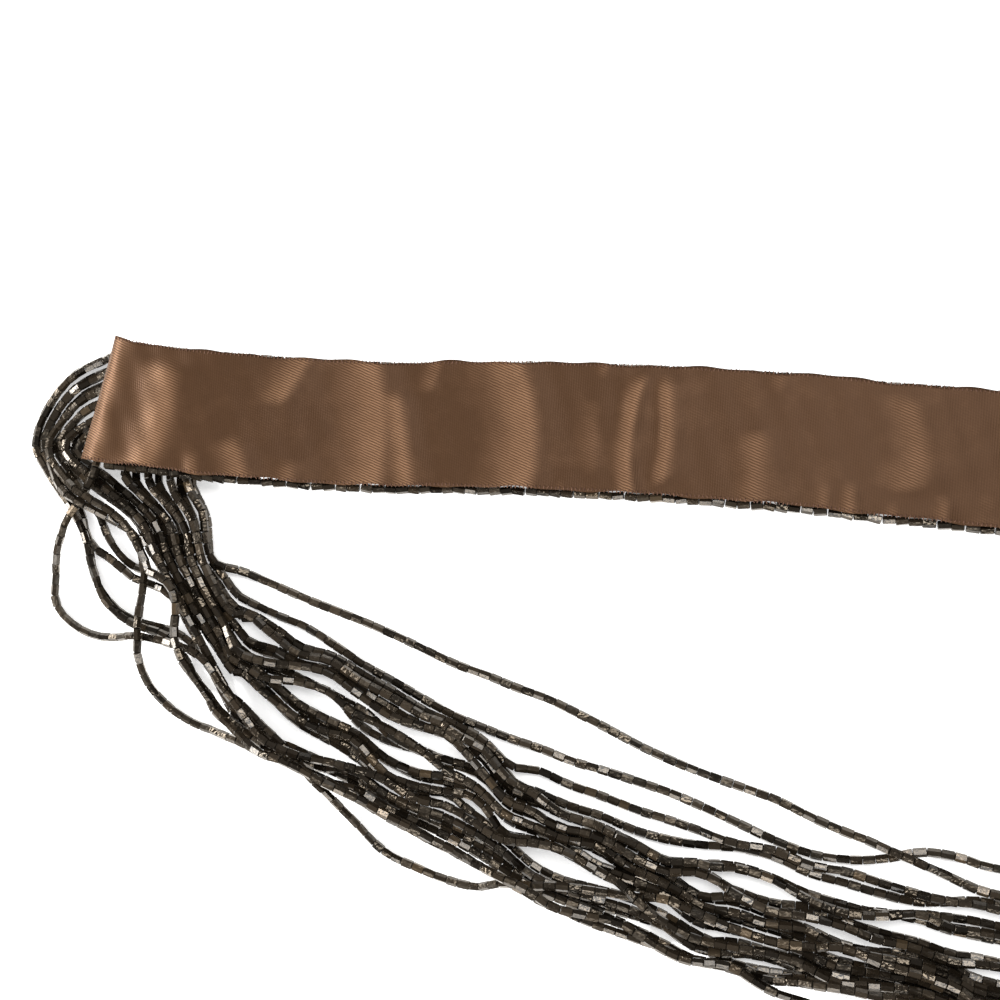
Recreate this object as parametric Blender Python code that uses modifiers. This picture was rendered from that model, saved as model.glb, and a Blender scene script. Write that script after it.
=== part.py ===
"""Beaded belt, laid flat with its satin side up.

A brown satin ribbon backs a face of glass beads. At each end a narrow root strip carries 24 bead strands,
which loop out under the ribbon's end and swing below the band to the other end.
Design frame, in millimetres: X along the band from its near end, Y across it from the ribbon's front edge,
Z up from the table. The far half is the near half mirrored.
"""
import bisect
import math

import bmesh
import bpy
from mathutils import Matrix, Vector

MM = 0.001

# Band, in millimetres
BELT_LENGTH = 660.0
HALF = BELT_LENGTH / 2
RIBBON_WIDTH = 29.6
RIBBON_WALL = 1.0
FACE_THICKNESS = 2.2
SEAM_GAP = 0.3
END_SLANT = 0.25
END_FLARE = 1.2
END_FLARE_REACH = 8.0
PUCKER_LIFT = 0.55

# Bead face: its front and back edge, and where the front edge row starts, in millimetres
FACE_FRONT_Y = -1.5
FACE_BACK_Y = 29.9
FRONT_ROW_X = 11.0

# Beads and strands, in millimetres
BEAD_DIAMETER = 2.2
STRAND_RADIUS = 1.05
LAY_DISTANCE = 2.35
FLOOR_HEIGHT = 1.4
LAY_SLOPE = 0.45
MID_GAP = 0.3
SAMPLE_STEP = 0.8
ROOT_POINTS = 4

# The end that lies on the strands, in millimetres
END_X = 5.0
END_LIFT = 8.4
LIFT_FLAT_TO = 34.0
LIFT_DOWN_AT = 92.0

# Root strip under the ribbon's end, in millimetres
STRIP_X = 10.0
STRIP_WIDTH = 3.6
STRIP_FROM_Y = 1.0
STRIP_TO_Y = 29.2
STRIP_BOTTOM = 1.2
STRIP_CLEARANCE = 1.2
TIER_HEIGHTS = (2.5, 5.0)

# The origin lies under the middle of the bounding box
ORIGIN_Y = 48.015

# Sway of the ribbon's front edge: along the band, sideways, in millimetres
SWAY = (
    (0, 0.0), (20, -1.0), (40, -2.0), (62, -2.3), (80, -2.0), (100, -0.8), (120, 0.0), (150, 0.4),
    (178, 0.1), (200, -1.0), (230, -2.0), (270, -1.4), (330, -0.6),
)

# Soft folds of the ribbon: place along the band, half width, height share, lean toward the back edge
PUCKERS = (
    (9, 7, 0.7, 6), (33, 10, 0.9, 20), (56, 8, 0.6, 9), (78, 9, 1.0, 6), (107, 13, 0.8, 3),
    (139, 7, 1.0, 5), (151, 6, 0.8, -4), (181, 8, 0.6, 6), (206, 10, 0.5, 2), (240, 12, 0.6, 5),
    (272, 9, 0.7, -3), (305, 12, 0.6, 4), (330, 9, 0.5, 0),
)

# Strands in the order they are laid, so each rests on the ones before it.
# name, tier of its root, root's Y on the strip, reach (X of the loop's outer turn, None when it leaves
# the strip to the right), then its X where it passes the band's front edge (Y -5), Y -14 and the neck (Y -24)
STRANDS = (
    ("a0", 0, 28.2, -13.0, -8.6, None, None),
    ("a2", 0, 21.4, -8.0, -2.2, None, None),
    ("a7", 0, 11.8, -3.0, 4.8, 18.6, 24.6),
    ("a9", 0, 6.0, None, 13.4, 23.0, 27.9),
    ("a11", 0, 13.0, None, 19.2, 27.4, 31.2),
    ("a13", 0, 20.0, None, 25.0, 31.4, 34.5),
    ("a15", 0, 27.0, None, 30.8, None, None),
    ("b1", 0, 24.8, -10.5, -5.4, None, None),
    ("b6", 0, 16.8, -5.5, 1.2, 16.2, 23.0),
    ("b8", 0, 7.4, -0.5, 8.4, 20.8, 26.3),
    ("b10", 0, 9.5, None, 16.2, 25.2, 29.6),
    ("b12", 0, 16.5, None, 22.2, 29.4, 32.9),
    ("b14", 0, 23.5, None, 28.0, 33.0, 36.0),
    ("b16", 1, 27.6, None, 30.2, None, None),
    ("cu", 1, 27.4, -11.8, -7.0, None, None),
    ("ct", 1, 16.0, -4.3, 3.0, 17.6, 24.6),
    ("cs", 1, 8.6, 0.7, 10.2, 22.4, 27.9),
    ("cr", 1, 8.0, None, 14.8, 26.6, 31.2),
    ("cq", 1, 15.0, None, 20.7, 30.4, 34.5),
    ("cp", 1, 22.0, None, 26.5, 33.6, 37.2),
    ("stray", 1, 12.2, -1.8, 6.6, 19.6, 26.2),
    ("loop", 1, 4.6, None, None, None, None),
    ("fall", 1, 23.4, -9.3, -3.8, None, None),
    ("side", 1, 19.6, -6.8, -0.5, 15.0, 22.6),
)

# Routes of the loose loops between the band and the first station: X, Y
LOOSE = {
    "a0": ((-0.6, -14), (3, -20), (4.2, -25), (5.6, -30), (8.4, -34.2), (12, -37.6), (16, -39.6),
           (20.5, -40.8), (25.5, -41.4), (30.8, -43), (35.6, -46.2), (40, -50.8)),
    "a2": ((5.8, -14), (7.6, -17.8), (9.6, -21), (13, -24.6), (17, -26.9), (22, -28), (26.5, -29.8),
           (31, -33.8), (38, -42.6)),
    "a15": ((33, -8.6), (35.2, -12.8), (36, -17), (36.4, -20.5), (37.8, -24.6), (40.6, -28.6)),
    "b1": ((1.8, -14), (3.6, -19), (6.4, -22.8), (10, -24.8), (14, -27.2), (18, -29.8), (22.5, -30.9),
           (27, -32.4), (31.4, -37.2), (36.8, -45)),
    "b16": ((34.6, -10.4), (35.8, -14.6), (36.2, -18.8), (37.4, -22), (40, -24.2)),
    "cu": ((1.2, -14), (4.8, -19.9), (6.3, -24.8), (7.3, -29.7), (9.1, -34.3), (12.6, -37.8), (16.4, -40),
           (20.5, -41.4), (25, -42.2), (29.2, -44.2), (32.3, -48.6), (35.8, -54)),
    "loop": ((8.4, 3), (8.3, -1.6), (7, -6.1), (4, -10.9), (1.4, -14.4), (-0.4, -18.2), (-2.8, -22.6),
             (-4.4, -27), (-5.1, -31.5), (-5.3, -36), (-3.6, -39.5), (-0.6, -42), (3.2, -44), (8, -45.1),
             (13, -44.8), (19, -43.6), (25, -43.8), (31, -44.5), (37.2, -45.2), (42.2, -48.4)),
    "fall": ((0, -8.6), (4.6, -10.8), (8.2, -12.5), (11.8, -14.4), (15.1, -16.4), (19, -19),
             (20.4, -22.8), (20.8, -27), (20.5, -31), (20.4, -35), (20.9, -39), (21.6, -43), (21.7, -47),
             (22.2, -51), (23.2, -54.8), (25.4, -58.4), (28, -60.8), (31.5, -62.8), (37, -64.9)),
    "side": ((23.6, -26.4), (27.4, -27.6), (30.4, -29.4), (32.2, -32.2), (32.8, -36), (32.4, -40.5),
             (34, -45), (36.2, -49.2), (38.8, -53.6), (42.2, -59.4)),
}

# Lines across the strands' way, as Y: past the band's front edge, halfway to the neck, and the neck
EDGE_Y = -5.0
UPPER_Y = -14.0
NECK_Y = -24.0

# Turns of a strand that leaves the strip to the right, between its root and the band's front edge:
# share of the way along X, extra X, share of the root's Y, extra Y
RIGHT_TURNS = ((0.55, 1.5, 0.72, 0.0), (1.0, -0.6, 0.22, -1.0))

# Turns of a strand that loops out to the left: share of the way to its reach, share of the way back in Y
LOOP_TURNS = ((0.36, 0.89), (0.75, 0.6))
LOOP_LOW_Y = 5.0
LOOP_NEST = 0.2
LOOP_ROOT_Y = 28.0

# Length of the tubes' straight pieces: up to this X, in millimetres
PIECES = ((45.0, 5.5), (232.0, 8.5), (HALF, 17.0))

# How far each strand lies below the ribbon's front edge at each station along the band
STATIONS = (45, 50, 56, 63, 71, 79, 87, 95, 102, 110, 117, 124, 131, 139, 147, 155, 163, 171, 179, 187,
            195, 203, 211, 219, 227, 262, 296, 330)
DEPTHS = {
    "a15": (31.6, 33.6, 35.7, 37.7, 41.6, 45.8, 49.1, 52.7, 55.6, 57.9, 59.8, 61.3, 63.3, 64.7, 66.4,
            68.2, 70.7, 73.4, 76.2, 78.2, 78.5, 77.3, 74.8, 75.0, 76.5, 79.0, 82.0, 83.0),
    "a13": (36.2, 37.0, 41.0, 44.6, 45.7, 49.6, 53.0, 56.4, 58.4, 62.2, 69.6, 71.6, 73.8, 75.3, 77.7,
            78.9, 79.2, 78.8, 79.9, 82.5, 83.8, 85.2, 86.0, 84.8, 84.2, 88.0, 90.6, 91.4),
    "a11": (40.2, 44.2, 45.4, 47.6, 48.2, 53.6, 57.6, 59.4, 60.9, 65.2, 72.4, 74.2, 76.4, 78.4, 81.6,
            84.4, 85.2, 88.8, 90.3, 90.2, 90.2, 89.3, 89.8, 91.4, 92.0, 95.6, 98.0, 99.0),
    "a9": (43.4, 46.8, 49.2, 51.4, 53.3, 60.4, 63.6, 64.8, 67.2, 69.4, 75.4, 77.4, 80.4, 81.6, 85.0, 87.4,
           91.2, 91.2, 93.2, 95.0, 97.6, 98.2, 97.6, 98.8, 101.6, 104.0, 105.6, 106.4),
    "a7": (46.6, 49.4, 53.0, 58.1, 61.2, 64.6, 68.6, 71.2, 71.8, 73.8, 79.0, 80.8, 82.6, 86.8, 88.4, 90.4,
           94.4, 95.0, 96.4, 98.2, 102.0, 101.6, 101.0, 102.4, 104.8, 108.6, 111.0, 112.0),
    "a2": (50.0, 51.4, 56.6, 61.6, 64.8, 68.6, 73.4, 76.0, 77.6, 80.6, 84.2, 89.0, 91.4, 92.4, 93.6, 96.4,
           100.9, 100.4, 101.4, 102.4, 104.6, 104.6, 104.6, 106.0, 108.4, 112.6, 115.6, 117.0),
    "a0": (60.0, 63.4, 67.0, 68.8, 71.8, 74.4, 77.6, 80.4, 82.4, 85.6, 88.8, 92.6, 94.6, 96.2, 97.4, 98.8,
           102.2, 105.2, 106.0, 106.0, 106.0, 107.4, 108.2, 110.0, 112.4, 117.4, 120.2, 121.4),
    "b16": (25.2, 26.8, 28.7, 31.0, 33.2, 35.5, 38.1, 41.0, 43.4, 45.4, 47.5, 49.2, 51.7, 54.8, 58.1,
            60.8, 63.1, 65.0, 67.0, 70.1, 72.6, 74.6, 77.0, 80.2, 82.0, 84.6, 86.4, 87.4),
    "b14": (34.0, 35.6, 38.6, 42.6, 43.9, 47.6, 51.0, 54.8, 57.0, 60.2, 65.6, 66.5, 68.9, 70.7, 72.9,
            74.4, 76.2, 77.5, 78.0, 80.4, 81.2, 82.8, 83.9, 84.4, 84.8, 90.4, 93.6, 95.0),
    "b12": (38.4, 43.0, 43.6, 46.4, 47.5, 51.4, 55.2, 58.4, 60.0, 63.8, 70.8, 72.8, 75.6, 77.2, 80.2,
            83.2, 83.0, 83.1, 84.6, 87.3, 88.2, 89.0, 88.0, 88.5, 89.0, 93.6, 98.4, 100.4),
    "b10": (41.8, 45.4, 47.2, 49.9, 52.8, 56.2, 61.6, 64.5, 66.0, 67.8, 74.0, 76.0, 79.8, 80.4, 83.6,
            86.0, 90.2, 89.6, 91.6, 91.4, 91.6, 93.8, 94.7, 96.4, 96.8, 100.0, 103.6, 105.0),
    "b8": (45.0, 47.8, 51.2, 56.3, 59.5, 62.4, 67.4, 69.8, 70.0, 72.2, 77.4, 79.2, 81.2, 82.9, 87.0, 89.2,
           93.0, 93.6, 94.8, 96.4, 97.8, 98.2, 98.6, 100.0, 102.6, 106.4, 109.0, 110.4),
    "b6": (48.4, 49.4, 54.8, 59.9, 62.9, 66.6, 72.0, 74.0, 74.6, 78.7, 82.0, 82.4, 84.0, 87.8, 90.2, 91.8,
           96.6, 97.8, 98.6, 100.2, 102.8, 101.2, 102.0, 103.4, 105.6, 110.6, 113.6, 115.0),
    "b1": (56.6, 61.4, 65.4, 67.4, 70.0, 72.4, 76.2, 78.8, 80.6, 83.4, 86.6, 90.8, 93.0, 94.6, 96.0, 98.0,
           102.2, 102.2, 102.2, 104.2, 105.4, 104.2, 105.4, 107.4, 109.8, 115.0, 118.4, 119.4),
    "cp": (35.0, 35.6, 39.8, 44.0, 44.8, 48.8, 52.0, 55.6, 59.4, 61.4, 68.2, 71.2, 75.0, 76.4, 79.4, 82.6,
           82.8, 82.9, 84.4, 87.8, 89.2, 88.9, 87.4, 90.0, 90.4, 92.4, 95.0, 96.6),
    "cq": (40.8, 44.8, 46.0, 46.8, 47.6, 52.0, 56.4, 58.0, 59.6, 66.4, 73.2, 75.2, 79.4, 79.4, 82.6, 85.2,
           84.7, 88.2, 91.0, 91.2, 92.2, 94.6, 95.6, 97.4, 97.2, 98.0, 101.0, 102.8),
    "cr": (44.2, 47.6, 50.2, 50.6, 52.0, 57.0, 59.8, 63.3, 67.9, 71.2, 76.6, 78.4, 80.6, 81.2, 85.4, 88.2,
           92.2, 92.4, 94.0, 94.2, 97.2, 98.0, 98.4, 100.4, 103.2, 105.4, 107.4, 108.8),
    "cs": (47.6, 49.6, 54.4, 59.0, 62.0, 63.6, 70.4, 72.6, 73.2, 74.2, 81.2, 81.8, 83.4, 86.4, 88.0, 90.4,
           94.2, 96.6, 98.0, 99.2, 102.4, 102.0, 101.6, 103.6, 106.0, 109.6, 112.4, 113.8),
    "ct": (55.8, 59.8, 64.6, 68.0, 71.0, 70.6, 75.0, 77.6, 79.0, 82.0, 85.4, 90.0, 92.2, 93.6, 94.8, 97.2,
           101.4, 101.8, 100.8, 103.2, 104.9, 104.6, 105.2, 107.0, 109.4, 114.0, 117.0, 118.4),
    "cu": (61.6, 64.6, 67.8, 70.6, 74.6, 75.4, 78.8, 81.6, 83.8, 87.0, 90.2, 93.4, 95.4, 97.2, 99.4,
           102.9, 104.8, 104.4, 106.6, 105.0, 105.4, 106.3, 109.2, 111.0, 113.4, 119.0, 122.0, 123.0),
    "loop": (52.2, 57.4, 64.2, 66.6, 68.4, 69.6, 71.2, 75.2, 76.4, 79.4, 82.0, 82.0, 82.6, 85.8, 89.6,
             95.4, 99.0, 99.8, 99.8, 101.2, 103.8, 103.4, 103.6, 105.2, 107.4, 111.4, 114.4, 116.0),
    "fall": (66.2, 66.9, 68.9, 69.2, 72.3, 75.9, 80.2, 83.3, 86.6, 89.0, 90.6, 93.0, 96.4, 99.6, 101.2,
             103.0, 104.2, 104.6, 106.2, 104.6, 104.3, 104.8, 105.6, 107.8, 111.0, 116.2, 119.0, 120.4),
    "side": (61.8, 64.6, 67.6, 68.6, 71.4, 75.2, 79.0, 82.0, 85.0, 87.8, 89.6, 91.6, 95.2, 97.2, 98.8,
             102.2, 103.6, 103.4, 107.2, 109.6, 112.8, 116.4, 118.4, 119.6, 120.6, 123.0, 124.8, 125.4),
    "stray": (52.6, 57.3, 62.2, 67.0, 75.0, 83.8, 90.2, 92.9, 94.8, 95.6, 92.9, 92.1, 91.2, 91.4, 92.0,
              90.8, 93.0, 95.6, 97.2, 97.4, 96.1, 98.4, 99.8, 101.4, 104.0, 102.6, 104.8, 106.8),
}

# Colour, metallic share, roughness
LOOKS = {
    "brown satin": ((0.150, 0.078, 0.044, 1.0), 0.0, 0.38),
    "cut glass beads": ((0.030, 0.023, 0.018, 1.0), 0.35, 0.22),
}


def clear_scene():
    for thing in list(bpy.data.objects):
        bpy.data.objects.remove(thing, do_unlink=True)


def make_collection(name):
    group = bpy.data.collections.new(name)
    bpy.context.scene.collection.children.link(group)
    return group


def make_material(name):
    colour, metallic, roughness = LOOKS[name]
    material = bpy.data.materials.new(name)
    material.use_nodes = True
    shader = material.node_tree.nodes["Principled BSDF"]
    shader.inputs["Base Color"].default_value = colour
    shader.inputs["Metallic"].default_value = metallic
    shader.inputs["Roughness"].default_value = roughness
    return material


def smooth_step(value):
    value = min(max(value, 0.0), 1.0)
    return value * value * (3 - 2 * value)


def mirrored_x(x):
    """The band's far half repeats the near half."""
    return x if x <= HALF else BELT_LENGTH - x


def sway(x):
    """Sideways place of the ribbon's front edge."""
    x = mirrored_x(x)
    places = [row[0] for row in SWAY]
    after = min(max(bisect.bisect_right(places, x), 1), len(SWAY) - 1)
    (x0, y0), (x1, y1) = SWAY[after - 1], SWAY[after]
    return y0 + (y1 - y0) * smooth_step((x - x0) / (x1 - x0))


def band_lift(x):
    """Height of the band's underside: raised on the strands at its ends, flat on the table between."""
    x = mirrored_x(x)
    return END_LIFT * (1 - smooth_step((x - LIFT_FLAT_TO) / (LIFT_DOWN_AT - LIFT_FLAT_TO)))


def pucker(x, y):
    """Height of the ribbon's soft folds, nothing at its two edges."""
    x = mirrored_x(x)
    height = 0.0
    for place, half_width, share, lean in PUCKERS:
        along = (x - place - lean * (y / RIBBON_WIDTH - 0.5)) / half_width
        height += share * PUCKER_LIFT * math.exp(-along * along)
    return height * math.sin(math.pi * y / RIBBON_WIDTH)


def end_x(y):
    """Near end of the ribbon, cut on a slant."""
    return END_X + END_SLANT * y


def flare(x, y):
    """How far the ribbon spreads toward its back corner at each end."""
    away = (mirrored_x(x) - end_x(y)) / END_FLARE_REACH
    return END_FLARE * (y / RIBBON_WIDTH) ** 3 * math.exp(-away * away)


def world(x, y, z):
    return Vector(((x - HALF) * MM, (y + ORIGIN_Y) * MM, z * MM))


def grid_mesh(name, columns, rows, place):
    """A surface of columns by rows, bent by place(u, v) from a flat grid."""
    mesh = bpy.data.meshes.new(name)
    shape = bmesh.new()
    bmesh.ops.create_grid(shape, x_segments=columns, y_segments=rows, size=0.5)
    for vert in shape.verts:
        vert.co = place(vert.co.x + 0.5, vert.co.y + 0.5)
    shape.to_mesh(mesh)
    shape.free()
    return mesh


def add_object(name, mesh, material, group):
    thing = bpy.data.objects.new(name, mesh)
    if not mesh.materials:
        mesh.materials.append(material)
    group.objects.link(thing)
    return thing


def thicken(thing, wall):
    """Give an open surface a wall below it."""
    solid = thing.modifiers.new("wall", "SOLIDIFY")
    solid.thickness = wall * MM
    solid.offset = -1
    solid.use_even_offset = True


def make_ribbon(material, group):
    """The satin back: a thin wall with soft folds, its ends cut on a slant."""
    def place(u, v):
        y = v * RIBBON_WIDTH
        start = end_x(y)
        x = start + u * (BELT_LENGTH - 2 * start)
        z = band_lift(x) + FACE_THICKNESS + SEAM_GAP + RIBBON_WALL + pucker(x, y)
        return world(x, y + sway(x) + flare(x, y), z)

    thing = add_object("satin_ribbon", grid_mesh("satin_ribbon", 110, 6, place), material, group)
    thicken(thing, RIBBON_WALL)
    return thing


def make_face(name, first, from_y, to_y, rows, material, group):
    """A lengthwise strip of the bead face under the ribbon, from its first X to the same at the far end."""
    def place(u, v):
        y = from_y + v * (to_y - from_y)
        x = first + u * (BELT_LENGTH - 2 * first)
        return world(x, y + sway(x), band_lift(x) + FACE_THICKNESS)

    thing = add_object(name, grid_mesh(name, 60, rows, place), material, group)
    thicken(thing, FACE_THICKNESS)
    return thing


def catmull(points, pieces):
    """A smooth curve through points, as closely spaced places."""
    ends = [2 * points[0] - points[1]] + points + [2 * points[-1] - points[-2]]
    result = []
    for i in range(1, len(ends) - 2):
        p0, p1, p2, p3 = ends[i - 1:i + 3]
        for j in range(pieces):
            t = j / pieces
            result.append(0.5 * ((2 * p1) + (p2 - p0) * t + (2 * p0 - 5 * p1 + 4 * p2 - p3) * t * t
                                 + (3 * p1 - p0 - 3 * p2 + p3) * t * t * t))
    result.append(points[-1].copy())
    return result


def strip_x(y):
    return STRIP_X + END_SLANT * y


def start_of(root_y, reach, front_x):
    """The first stretch of a strand, from the root strip to the band's front edge."""
    root = Vector((strip_x(root_y), root_y))
    if reach is None:
        span = front_x - root.x
        turns = [Vector((root.x + share * span + extra, across * root_y + drop))
                 for share, extra, across, drop in RIGHT_TURNS]
    else:
        low = LOOP_LOW_Y - LOOP_NEST * (LOOP_ROOT_Y - root_y)
        turns = [Vector((root.x + share * (reach - root.x), low + across * (root_y - low)))
                 for share, across in LOOP_TURNS]
        turns.append(Vector((reach, low)))
    return [root] + turns + [Vector((front_x, EDGE_Y))]


def route(row):
    """A strand's way in plan, from its root to the belt's middle."""
    name, _, root_y, reach, front_x, upper_x, neck_x = row
    if front_x is None:
        points = [Vector((strip_x(root_y), root_y))]
    else:
        points = start_of(root_y, reach, front_x)
    if upper_x is not None:
        points += [Vector((upper_x, UPPER_Y)), Vector((neck_x, NECK_Y))]
    points += [Vector(place) for place in LOOSE.get(name, ())]
    points += [Vector((x, -depth)) for x, depth in zip(STATIONS, DEPTHS[name])]
    return points


def spacing(x):
    """Length of a strand's straight pieces: short in the loops, longer far from them."""
    for limit, length in PIECES:
        if x < limit:
            return length
    return PIECES[-1][1]


def straight_pieces(points):
    """Places along a strand, one for each straight piece of its tube."""
    fine = catmull(points, 12)
    picked = [fine[0]]
    run = 0.0
    for before, after in zip(fine, fine[1:]):
        run += (after - before).length
        if run >= spacing(after.x):
            picked.append(after)
            run = 0.0
    picked[-1] = fine[-1]
    picked[-1].x -= MID_GAP / 2
    return picked


def spread(points, deck):
    """Move a strand sideways, clear of the strands already laid in its deck."""
    near = {}
    for x, y in deck:
        near.setdefault(cell_of(x, y), []).append(Vector((x, y)))
    for point in points[ROOT_POINTS:]:
        column, line = cell_of(point.x, point.y)
        cells = [(column + i, line + j) for i in (-1, 0, 1) for j in (-1, 0, 1)]
        others = [place for cell in cells for place in near.get(cell, ())]
        if not others:
            continue
        closest = min(others, key=lambda place: (place - point).length)
        away = point - closest
        if 0.01 < away.length < LAY_DISTANCE:
            point.xy = closest + away.normalized() * (LAY_DISTANCE + 0.05)
    return points


def samples(points, heights):
    """Places every millimetre or so along straight pieces, with their height and piece number."""
    found = []
    for number, (before, after) in enumerate(zip(points, points[1:])):
        count = max(2, round((after - before).length / SAMPLE_STEP))
        for i in range(count):
            share = i / count
            place = before.lerp(after, share)
            height = heights[number] + (heights[number + 1] - heights[number]) * share
            found.append((place.x, place.y, height, number))
    return found


def cell_of(x, y):
    return (math.floor(x / LAY_DISTANCE), math.floor(y / LAY_DISTANCE))


def rest_heights(points, root_height, laid):
    """Heights at which a strand rests on the floor and on the strands already laid."""
    needs = [FLOOR_HEIGHT] * len(points)
    for x, y, _, number in samples(points, needs):
        column, line = cell_of(x, y)
        for cell in [(column + i, line + j) for i in (-1, 0, 1) for j in (-1, 0, 1)]:
            for other_x, other_y, other_z in laid.get(cell, ()):
                apart = (x - other_x) ** 2 + (y - other_y) ** 2
                if apart < LAY_DISTANCE ** 2:
                    need = other_z + math.sqrt(LAY_DISTANCE ** 2 - apart)
                    needs[number] = max(needs[number], need)
                    needs[number + 1] = max(needs[number + 1], need)
    needs[0] = root_height
    for order in (range(1, len(points)), range(len(points) - 2, 0, -1)):
        for i in order:
            neighbour = i - 1 if order.step > 0 else i + 1
            reach = (points[i] - points[neighbour]).length
            needs[i] = max(needs[i], needs[neighbour] - LAY_SLOPE * reach)
    return needs


def lay_strands():
    """Every near strand's places in three dimensions, laid one on another."""
    laid = {}
    decks = {"a": [], "b": [], "c": []}
    strands = []
    for row in STRANDS:
        points = straight_pieces(route(row))
        deck = decks.get(row[0][0], [])
        points = spread(points, deck)
        heights = rest_heights(points, TIER_HEIGHTS[row[1]], laid)
        for x, y, z, _ in samples(points, heights):
            laid.setdefault(cell_of(x, y), []).append((x, y, z))
            deck.append((x, y))
        strands.append([(point.x, point.y, height) for point, height in zip(points, heights)])
    return strands


def triangle_profile(group):
    """The three-sided section of a strand's tube."""
    curve = bpy.data.curves.new("strand_section", "CURVE")
    spline = curve.splines.new("POLY")
    spline.points.add(2)
    for i, point in enumerate(spline.points):
        angle = math.radians(90 + 120 * i)
        point.co = (STRAND_RADIUS * MM * math.cos(angle), STRAND_RADIUS * MM * math.sin(angle), 0, 1)
    spline.use_cyclic_u = True
    thing = bpy.data.objects.new("strand_section", curve)
    thing.hide_render = True
    thing.display_type = "WIRE"
    group.objects.link(thing)
    return thing


def tubes_mesh(name, strands, profile, far):
    """All strands of one end as closed tubes in one mesh."""
    curve = bpy.data.curves.new(name, "CURVE")
    curve.dimensions = "3D"
    curve.bevel_mode = "OBJECT"
    curve.bevel_object = profile
    curve.use_fill_caps = True
    curve.twist_mode = "Z_UP"
    for strand in strands:
        spline = curve.splines.new("POLY")
        spline.points.add(len(strand) - 1)
        for point, (x, y, z) in zip(spline.points, strand):
            point.co = (*world(BELT_LENGTH - x if far else x, y, z), 1)
    holder = bpy.data.objects.new(name, curve)
    bpy.context.scene.collection.objects.link(holder)
    graph = bpy.context.evaluated_depsgraph_get()
    mesh = bpy.data.meshes.new_from_object(holder.evaluated_get(graph))
    bpy.data.objects.remove(holder, do_unlink=True)
    bpy.data.curves.remove(curve)
    shape = bmesh.new()
    shape.from_mesh(mesh)
    bmesh.ops.remove_doubles(shape, verts=shape.verts, dist=0.00001)
    bmesh.ops.recalc_face_normals(shape, faces=shape.faces)
    shape.to_mesh(mesh)
    shape.free()
    return mesh


def make_fringe(name, strands, profile, far, material, group, cutters):
    """One root strip with its half strands fused to it."""
    tubes = add_object(name + "_tubes", tubes_mesh(name + "_tubes", strands, profile, far), material, cutters)
    tubes.hide_render = True
    tubes.display_type = "WIRE"
    top = END_LIFT + FACE_THICKNESS - SEAM_GAP
    middle_y = (STRIP_FROM_Y + STRIP_TO_Y) / 2
    middle_x = strip_x(middle_y)
    mesh = bpy.data.meshes.new(name)
    shape = bmesh.new()
    bmesh.ops.create_cube(shape, size=1.0)
    turn = math.atan(END_SLANT)
    size = Vector((STRIP_WIDTH, (STRIP_TO_Y - STRIP_FROM_Y) / math.cos(turn), top - STRIP_BOTTOM)) * MM
    bmesh.ops.transform(shape, matrix=Matrix.Diagonal(size).to_4x4(), verts=shape.verts)
    shape.to_mesh(mesh)
    shape.free()
    strip = add_object(name, mesh, material, group)
    strip.location = world(BELT_LENGTH - middle_x if far else middle_x, middle_y, (top + STRIP_BOTTOM) / 2)
    strip.rotation_euler.z = turn if far else -turn
    union = strip.modifiers.new("strands", "BOOLEAN")
    union.operation = "UNION"
    union.solver = "EXACT"
    union.object = tubes
    return strip


def main():
    clear_scene()
    belt = make_collection("beaded_belt")
    cutters = make_collection("cutters")
    satin = make_material("brown satin")
    beads = make_material("cut glass beads")
    make_ribbon(satin, belt)
    row = BEAD_DIAMETER
    front = FACE_FRONT_Y
    back = FACE_BACK_Y
    inside = strip_x(STRIP_TO_Y) + STRIP_WIDTH / 2 + STRIP_CLEARANCE
    make_face("bead_row_front", FRONT_ROW_X, front, front + row, 1, beads, belt)
    make_face("bead_face", inside, front + row + SEAM_GAP, back - row - SEAM_GAP, 2, beads, belt)
    make_face("bead_row_back", inside, back - row, back, 1, beads, belt)
    profile = triangle_profile(cutters)
    strands = lay_strands()
    make_fringe("strands_left", strands, profile, False, beads, belt, cutters)
    make_fringe("strands_right", strands, profile, True, beads, belt, cutters)


main()
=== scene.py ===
"""Looks of the beaded belt: satin ribbon, single cut beads, stitches, floor, light and camera.

The design frame is part.py's, in millimetres: X along the band from its near end, Y across it from the
ribbon's front edge, Z up from the table. The far half is the near half mirrored.
"""
import bisect
import math
import random

import bmesh
import bpy
import numpy as np
from mathutils import Matrix, Vector


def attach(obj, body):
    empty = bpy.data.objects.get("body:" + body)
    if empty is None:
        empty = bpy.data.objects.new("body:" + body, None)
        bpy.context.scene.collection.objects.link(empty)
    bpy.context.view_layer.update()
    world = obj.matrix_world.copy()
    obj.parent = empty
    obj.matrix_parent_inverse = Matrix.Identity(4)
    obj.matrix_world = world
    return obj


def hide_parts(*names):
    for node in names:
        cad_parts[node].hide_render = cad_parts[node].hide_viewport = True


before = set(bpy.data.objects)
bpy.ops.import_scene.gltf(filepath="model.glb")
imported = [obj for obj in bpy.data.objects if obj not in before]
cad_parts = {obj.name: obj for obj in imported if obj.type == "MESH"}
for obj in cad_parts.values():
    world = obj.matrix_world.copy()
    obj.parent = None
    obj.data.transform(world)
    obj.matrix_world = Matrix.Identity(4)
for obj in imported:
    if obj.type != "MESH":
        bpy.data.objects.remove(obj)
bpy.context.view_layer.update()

MM = 0.001

# Band, in millimetres, as in the part
BELT_LENGTH = 660.0
HALF = BELT_LENGTH / 2
RIBBON_WIDTH = 29.6
FACE_THICKNESS = 2.2
SEAM_GAP = 0.3
END_SLANT = 0.25
END_FLARE = 1.2
END_FLARE_REACH = 8.0
FRONT_ROW_X = 11.0
END_X = 5.0
END_LIFT = 8.4
LIFT_FLAT_TO = 34.0
LIFT_DOWN_AT = 92.0

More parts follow.
